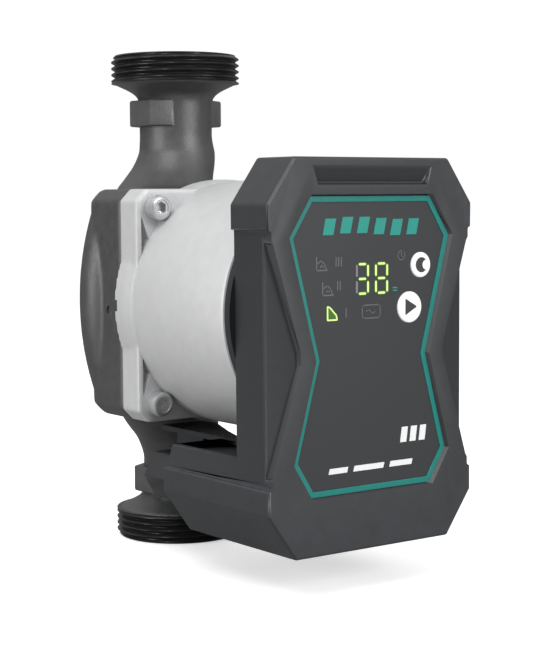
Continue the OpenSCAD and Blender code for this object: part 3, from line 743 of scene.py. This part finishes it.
class PUMP_OT_flange_screws(bpy.types.Operator):
    """Four socket-head screws in the corners of the motor flange"""

    bl_idname = "pump.flange_screws"
    bl_label = "Flange screws"

    def execute(self, context):
        at = (SCREW_OFFSET, AXIS_Z + SCREW_OFFSET)
        head = [(FLANGE_Y - 4.98, 3.1), (-43.2, 3.75), (-42.9, 4.1), (-42.3, 4.25),
                (-38.9, 4.25), (FLANGE_Y, 4.05)]
        shank = [(-38.35, 2.5), (-17.4, 2.5), (-16.4, 1.8)]
        screw = turned("screw", head + shank, *at, sides=40)
        cut(screw, turned("dish", [(-44, 3.0), (-43.0, 2.7)], *at, sides=40),
            rod("socket", 2.2, -44, -40.8, "Y", *at, 6))
        smooth(screw, 34)
        twins = [screw]
        for x, z in QUARTERS[:3]:
            twin = copy_of(screw, "screw")
            edit(twin)
            move = ((x - 1) * SCREW_OFFSET * MM, 0, (z - 1) * SCREW_OFFSET * MM)
            bpy.ops.transform.translate(value=move)
            leave()
            twins.append(twin)
        settle(gather("flange_screw_set", twins), "body", "screw_steel", "screw_steel", "flange_screws")
        return {"FINISHED"}


# ---------------------------------------------------------------- control box


class PUMP_OT_box(bpy.types.Operator):
    """Moulded cover and base of the control box with softened edges"""

    bl_idname = "pump.box"
    bl_label = "Control box"

    def execute(self, context):
        edge = context.scene.pump_box.edge / MM

        def outer(a, b):
            """True for the longer edges of the shell's outside, away from the panel seat."""
            for p in (a, b):
                skin = abs(p.x) > 38.6 or p.z < 14.2 or p.z > 139.6 or (p.z > 129 and p.y < -113.5)
                slope = abs(p.x) + (p.z - 139.9) * 0.714 > 31.4 or abs(p.x) + (13.9 - p.z) * 0.714 > 31.4
                if not (skin or slope) or (abs(p.x) < 38 and 20 < p.z < 131):
                    return False
            # the short edges where a facet meets a ledge stay sharp
            return (a - b).length > 4.2

        cover = rework("box_cover", "control_box_cover")
        round_edges(cover, edge, outer, segments=3, sharper=0.3, clamp=False)
        # fine groove down each recessed side, just behind the front frame
        for x in (-41, 41):
            cut(cover, brick("groove", (x - 0.7, -111.6, 38.5), (x + 0.7, -111.2, 115.5)))
        settle(firm(cover, 50), "body", "box_plastic", "box_plastic", "box_cover")
        base = rework("box_base", "control_box_base")
        round_edges(base, 0.4, lambda a, b: min(a.y, b.y) > -92 and (a - b).length > 2, sharper=0.6)
        settle(firm(base, 40), "body", "base_plastic", "base_plastic", "box_base")
        return {"FINISHED"}


class PUMP_OT_panel(bpy.types.Operator):
    """Printed panel and the coloured line round it"""

    bl_idname = "pump.panel"
    bl_label = "Panel and line"

    def execute(self, context):
        line = rework("trim_line_ring", "panel_line")
        round_edges(line, 0.12, lambda a, b: max(a.y, b.y) < -114.4)
        settle(firm(line, 50), "body", "trim", "trim", "trim_line_ring")
        panel = rework("fascia_panel", "front_panel")
        brim = PANEL_Y + 0.1
        round_edges(panel, 0.1, lambda a, b: max(a.y, b.y) < brim and (a - b).length > 2)
        settle(firm(panel, 50), "body", "panel", "panel", "fascia_panel")
        return {"FINISHED"}


def hexagon(x, z, long, thick, upright):
    """Pointed bar of a digit, as (x, z) corners round its middle."""
    half, point = long / 2, thick / 2
    shape = [(-half, 0), (point - half, point), (half - point, point),
             (half, 0), (half - point, -point), (point - half, -point)]
    return [(x + b, z + a) if upright else (x + a, z + b) for a, b in shape]


def digit_bars(left, right, low, high):
    """Seven bars of a digit as (x, z, length, upright), top first and clockwise, middle last."""
    mid, half = (low + high) / 2, (high - low) / 2
    wide, tall, x = right - left - 1.3 - 0.9, half - 1.1, (left + right) / 2
    edge_l, edge_r = left + 0.5, right - 0.5
    above, below = mid + half / 2, mid - half / 2
    return [(x, high - 0.5, wide, False), (edge_r, above, tall, True), (edge_r, below, tall, True),
            (x, low + 0.5, wide, False), (edge_l, below, tall, True), (edge_l, above, tall, True),
            (x, mid, wide, False)]


def stroke(start, end, thick, front=PANEL_Y - 0.1):
    """Thin raised line between two (x, z) places."""
    a, b = Vector(start), Vector(end)
    side = (b - a).orthogonal().normalized() * thick / 2
    tip = (b - a).normalized() * thick * 0.3
    outline = [a - side, a - tip, a + side, b + side, b + tip, b - side]
    return slab("stroke", [tuple(p) for p in outline], front, PANEL_Y + 0.05)


def path(points, thick, front=PANEL_Y - 0.1):
    return [stroke(a, b, thick, front) for a, b in zip(points, points[1:])]


def printed(outline, front=PANEL_Y - 0.15):
    """Thin raised mark on the panel."""
    return slab("mark", outline, front, PANEL_Y + 0.1)


def arc(x, z, radius, start, end, count):
    """Places on part of a circle, with angles in degrees."""
    angles = [math.radians(start + (end - start) * i / count) for i in range(count + 1)]
    return [(x + radius * math.cos(t), z + radius * math.sin(t)) for t in angles]


DIGITS = ((-6.3, -0.7), (1.6, 7.3))  # left and right end of each digit
DIGIT_LOW, DIGIT_HIGH = 96.0, 106.4
UNLIT = (4, 5)  # the dark bars of the first digit
LIT_SIGN = [(-17.7, 92.9), (-16.7, 92.5), (-14.2, 90.0), (-13.9, 88.6), (-17.7, 88.6)]
HOUSE_SIGNS = ((-22.0, 104.4), (-19.6, 96.5))  # lower left corner of each
LEVEL_SIGNS = ((-14.2, 105.5, 3), (-13.6, 98.0, 2), (-10.2, 89.2, 1))  # place and strokes


def slanted(x, low, long, tall, lean):
    """Plain four-sided mark that leans to the right."""
    return printed([(x, low), (x + long, low), (x + long + lean, low + tall), (x + lean, low + tall)])


def grey_signs():
    """House signs with their level strokes, a wave in a round-cornered frame and a clock."""
    grey = []
    for x, z in HOUSE_SIGNS:
        grey += path([(x, z + 4.2), (x, z), (x + 4.3, z)], 0.42)
        roof = [(x + 0.4, z + 2.2), (x + 1.9, z + 3.0), (x + 3.2, z + 1.9), (x + 3.9, z + 0.3)]
        grey += path(roof, 0.36)
        grey += path([(x + 1.5, z + 0.9), (x + 2.1, z + 1.7), (x + 2.8, z + 0.9)], 0.36)
    for x, z, count in LEVEL_SIGNS:
        for i in range(count):
            grey.append(stroke((x + i * 1.05, z), (x + i * 1.05, z + 2.8), 0.42))
    frame_line = arc(-2.6, 91.7, 1, 180, 90, 3) + arc(2.9, 91.7, 1, 90, 0, 3)
    frame_line += arc(2.9, 89.5, 1, 0, -90, 3) + arc(-2.6, 89.5, 1, 270, 180, 3)
    grey += path(frame_line + frame_line[:1], 0.36)
    grey += path([(-1.9 + 0.46 * i, 90.6 + 0.5 * math.sin(i * 0.785)) for i in range(9)], 0.3)
    grey += path(arc(12.9, 108.3, 1.5, 80, 400, 12), 0.32)
    return grey + path([(12.9, 109.2), (12.9, 108.2), (13.6, 107.8)], 0.3)


class PUMP_OT_signs(bpy.types.Operator):
    """Digits, mode signs and plain marks on the panel"""

    bl_idname = "pump.signs"
    bl_label = "Signs"

    def execute(self, context):
        cores, glows, unlit = [], [], []
        for number, ends in enumerate(DIGITS):
            bars = digit_bars(*ends, DIGIT_LOW, DIGIT_HIGH)
            for place, (x, z, long, upright) in enumerate(bars):
                if number == 0 and place in UNLIT:
                    unlit.append(printed(hexagon(x, z, long, 0.8, upright)))
                    continue
                cores.append(printed(hexagon(x, z, long - 0.3, 0.72, upright), PANEL_Y - 0.18))
                glows.append(printed(hexagon(x, z, long + 0.5, 1.35, upright), PANEL_Y - 0.1))
        cores += path(LIT_SIGN + LIT_SIGN[:1], 0.5, PANEL_Y - 0.2)
        glows.append(printed(LIT_SIGN, PANEL_Y - 0.08))
        for name, bars, look, slot in (("lit_bars", cores, "digit_core", "led"),
                                       ("lit_glow", glows, "digit_glow", "led"),
                                       ("unlit_bars", unlit, "digit_unlit", "display")):
            settle(gather(name, bars), "body", slot, look)
        settle(gather("grey_signs", grey_signs()), "body", "panel", "mark_grey")
        teal = [stroke((9.3, z), (11.0, z), 0.4) for z in (97.0, 97.9)]
        # plain mark of slanted blocks that rise and fall in a gentle wave
        for i in range(6):
            teal.append(slanted(-19.6 + i * 6.9, 115.4 + 0.5 * math.sin(i * 1.1), 4.3, 5.2, 1.2))
        settle(gather("teal_marks", teal), "body", "trim", "mark_teal")
        white = [slanted(x, 47, 2.6, 5, 0.7) for x in (12.4, 16.4, 20.4)]
        x, gap = -17.5, 2.6
        for long in (7.5, 12.5, 9.5):
            white.append(slanted(x, 39.4, long, 1.8, 0.5))
            x += long + gap
        settle(gather("white_marks", white), "body", "button", "mark_white")
        return {"FINISHED"}


class PUMP_OT_buttons(bpy.types.Operator):
    """Two domed push buttons with their signs"""

    bl_idname = "pump.buttons"
    bl_label = "Buttons"

    def execute(self, context):
        # how far the dome lies behind the face, and how far inside the cap's radius
        dome = ((0.02, 1.1), (0.07, 0.5), (0.22, 0.14), (0.45, 0))
        for node, (x, z), radius in (("night_button", NIGHT_AT, 4.15), ("mode_button", MODE_AT, 5.1)):
            profile = [(BUTTON_Y + back, radius - inside) for back, inside in dome]
            cap = turned(node + "_cap", profile + [(-113.72, radius)], x, z, 64)
            weld(cap, rod("stem", 2.6, -113.8, -111.65, "Y", x, z, 48),
                 rod("rim", 3.4, -111.94, -111.62, "Y", x, z, 48))
            settle(smooth(cap, 40), node, "button", "button_white_painted_glow", node)
        front, back = BUTTON_Y - 0.02, BUTTON_Y + 0.1
        x, z = NIGHT_AT
        moon = arc(x + 0.05, z, 2.5, 40, 320, 28) + arc(x + 2.1, z, 1.62, 262, 98, 18)
        settle(slab("night_sign", moon, front, back), "night_button", "button", "mark_dark")
        x, z = MODE_AT
        play = [(x - 2.1, z + 2.7), (x - 1.9, z + 2.8), (x + 2.7, z + 0.25),
                (x + 2.7, z - 0.05), (x - 1.9, z - 2.5), (x - 2.1, z - 2.4)]
        settle(slab("mode_sign", play, front, back), "mode_button", "button", "mark_dark")
        return {"FINISHED"}


class PUMP_OT_gland(bpy.types.Operator):
    """Gland body and its six-sided cap nut at the back of the foot"""

    bl_idname = "pump.gland"
    bl_label = "Cable gland"

    def execute(self, context):
        for node, name in (("cable_gland", "gland_body"), ("gland_nut", "gland_cap")):
            piece = rework(node, name)
            round_edges(piece, 0.35, lambda a, b: (a - b).length > 2.5, sharper=0.6)
            settle(smooth(piece, 34), "body", "gland", "gland", node)
        return {"FINISHED"}


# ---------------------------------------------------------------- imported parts

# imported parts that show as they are, by finish
INNER = {
    "ceramic": ["wear_ring"],
    "rubber": ["housing_gasket", "can_seal", "box_gasket", "gland_seal"],
    "stainless": ["bearing_plate", "shaft", "rotor_sleeve", "rotor_end_caps", "impeller_lock_ring"],
    "graphite": ["front_bearing", "rear_bearing", "thrust_bearing", "thrust_collar"],
    "can": ["rotor_can"],
    "part_cream": ["rear_bearing_holder", "stator_insulators", "terminal_block"],
    "laminate": ["stator_core", "rotor_core"],
    "copper": ["stator_windings"],
    "brass": ["winding_pins"],
    "magnet": ["rotor_magnets"],
    "impeller": ["impeller", "impeller_shroud"],
    "screw_steel": ["base_screws", "cover_screws", "foot_screws", "terminal_screws"],
    "display": ["digit_display"],
    "board": ["display_board", "power_board"],
    "led": ["mode_leds"],
    "part_black": ["tact_switches", "board_connector", "capacitors", "choke", "power_module"],
    "film_yellow": ["film_capacitor"],
    "thermal_pad": ["heat_pad"],
    "lead": ["supply_leads"],
}
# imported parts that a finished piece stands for, by finish
UNDER = {
    "cast_iron": ["pump_housing"],
    "aluminium": ["motor_housing"],
    "screw_steel": ["flange_screws"],
    "box_plastic": ["box_cover"],
    "base_plastic": ["box_base"],
    "trim": ["trim_line_ring"],
    "panel": ["fascia_panel"],
    "button_white_painted_glow": ["night_button", "mode_button"],
    "gland": ["cable_gland", "gland_nut"],
}


class PUMP_OT_inner(bpy.types.Operator):
    """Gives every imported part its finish"""

    bl_idname = "pump.inner"
    bl_label = "Packed parts"

    def execute(self, context):
        for table in (INNER, UNDER):
            for look, nodes in table.items():
                for node in nodes:
                    for slot in frame["nodes"][node].material_slots:
                        slot.material = FINISHES[look]
        return {"FINISHED"}


# ---------------------------------------------------------------- stage

FLOOR_SIZE = 14.0  # metres
FLOOR_DROP = 0.0002
# name, place, aim, width and height in metres, and power in watts
LAMPS = (
    ("key_light", (-0.7, -0.4, 1.2), (0, -0.05, 0.09), (0.6, 0.6), 7),
    ("front_light", (0.35, -1.4, 0.5), (0, -0.05, 0.11), (0.45, 0.8), 13),
    ("side_light", (-1.3, 0.0, 0.3), (0, -0.03, 0.09), (0.5, 0.6), 7),
)
CAMERA_PLACE = (-0.32898, -0.51074, 0.12782)
YAW, PITCH, ROLL = 0.631238, 0.0812338, -0.0062612  # how the camera is turned, in radians


def softbox(name, place, aim, size, power):
    """Square soft lamp aimed at a place."""
    bpy.ops.object.light_add(type="AREA", location=place)
    lamp = bpy.context.object
    lamp.name = name
    lamp.data.shape = "RECTANGLE"
    lamp.data.size, lamp.data.size_y = size
    lamp.data.energy = power
    lamp.rotation_euler = (Vector(aim) - Vector(place)).to_track_quat("-Z", "Y").to_euler()


def seen_apart(tree, plain, seen, output):
    """Shows one shader to the camera and lights the object by the other."""
    choose = tree.nodes.new("ShaderNodeMixShader")
    tree.links.new(tree.nodes.new("ShaderNodeLightPath").outputs["Is Camera Ray"], choose.inputs[0])
    tree.links.new(plain.outputs[0], choose.inputs[1])
    tree.links.new(seen.outputs[0], choose.inputs[2])
    tree.links.new(choose.outputs[0], output.inputs["Surface"])


def floor_look(colour):
    """Pale floor that looks evenly lit and throws little light back."""
    finish("floor_pale", shade(colour, 0.995), colour, (0.85, 0.95), 0, 40, 0.001,
           Emission_Color=(1, 1, 1, 1), Emission_Strength=0.5)
    material = FINISHES["floor_pale"]
    tree = material.node_tree
    dim = tree.nodes.new("ShaderNodeBsdfDiffuse")
    dim.inputs["Color"].default_value = (*shade(colour, 0.35), 1)
    seen_apart(tree, dim, tree.nodes["Principled BSDF"], tree.nodes["Material Output"])
    return material


def studio_world(strength):
    """White surroundings that light the object more from above than from the sides."""
    world = bpy.data.worlds.new("Studio")
    world.use_nodes = True
    tree = world.node_tree
    sky = tree.nodes["Background"]
    sky.inputs["Color"].default_value = (1, 1, 1, 1)
    split = tree.nodes.new("ShaderNodeSeparateXYZ")
    tree.links.new(tree.nodes.new("ShaderNodeTexCoord").outputs["Generated"], split.inputs[0])
    side, overhead = 0.4, 1.5
    rise = tree.nodes.new("ShaderNodeMapRange")
    rise.inputs["From Max"].default_value = 0.8
    rise.inputs["To Min"].default_value = side * strength
    rise.inputs["To Max"].default_value = overhead * strength
    tree.links.new(split.outputs["Z"], rise.inputs["Value"])
    tree.links.new(rise.outputs["Result"], sky.inputs["Strength"])
    white = tree.nodes.new("ShaderNodeBackground")
    white.inputs["Color"].default_value = (1, 1, 1, 1)
    seen_apart(tree, sky, white, tree.nodes["World Output"])
    return world


def studio_camera(scene, lens):
    """Camera at its place, turned by its yaw, pitch and roll."""
    camera = bpy.data.cameras.new("camera")
    camera.lens = lens
    holder = bpy.data.objects.new("camera", camera)
    scene.collection.objects.link(holder)
    level = math.cos(PITCH)
    ahead = Vector((math.sin(YAW) * level, math.cos(YAW) * level, -math.sin(PITCH)))
    right = Vector((math.cos(YAW), -math.sin(YAW), 0))
    up = right.cross(ahead)
    across = right * math.cos(ROLL) + up * math.sin(ROLL)
    above = up * math.cos(ROLL) - right * math.sin(ROLL)
    turn = Matrix((across, above, -ahead)).transposed().to_4x4()
    holder.matrix_world = Matrix.Translation(CAMERA_PLACE) @ turn
    return holder


class PUMP_OT_stage(bpy.types.Operator):
    """Pale floor, soft light and the camera"""

    bl_idname = "pump.stage"
    bl_label = "Stage"

    def execute(self, context):
        settings = context.scene.pump_stage
        scene = context.scene
        scene.view_settings.view_transform = "Standard"
        bpy.ops.object.select_all(action="DESELECT")
        bpy.ops.mesh.primitive_plane_add(size=FLOOR_SIZE, location=(0, 0, -FLOOR_DROP))
        floor = fresh("floor")
        floor.data.materials.append(floor_look(settings.floor))
        scene.world = studio_world(settings.sky)
        for lamp in LAMPS:
            softbox(*lamp)
        scene.camera = studio_camera(scene, settings.lens)
        return {"FINISHED"}


# ---------------------------------------------------------------- panel and run

OPERATORS = (
    PUMP_OT_finishes, PUMP_OT_inner, PUMP_OT_casting, PUMP_OT_motor, PUMP_OT_flange_screws,
    PUMP_OT_box, PUMP_OT_panel, PUMP_OT_signs, PUMP_OT_buttons, PUMP_OT_gland, PUMP_OT_stage,
)
SETTINGS = {
    "pump_casting": PumpCastingSettings,
    "pump_motor": PumpMotorSettings,
    "pump_box": PumpBoxSettings,
    "pump_stage": PumpStageSettings,
}


class PUMP_PT_panel(bpy.types.Panel):
    bl_label = "Circulator pump"
    bl_space_type = "VIEW_3D"
    bl_region_type = "UI"
    bl_category = "Pump"

    def draw(self, context):
        for name in SETTINGS:
            group = getattr(context.scene, name)
            for key in group.__annotations__:
                self.layout.prop(group, key)
        for operator in OPERATORS:
            self.layout.operator(operator.bl_idname)


def register():
    for name, group in SETTINGS.items():
        bpy.utils.register_class(group)
        setattr(bpy.types.Scene, name, bpy.props.PointerProperty(type=group))
    for entry in (*OPERATORS, PUMP_PT_panel):
        bpy.utils.register_class(entry)


def unregister():
    for entry in (PUMP_PT_panel, *reversed(OPERATORS)):
        bpy.utils.unregister_class(entry)
    for name, group in SETTINGS.items():
        delattr(bpy.types.Scene, name)
        bpy.utils.unregister_class(group)


def main():
    register()
    for operator in OPERATORS:
        group, name = operator.bl_idname.split(".")
        getattr(getattr(bpy.ops, group), name)()


if __name__ == "__main__":
    main()
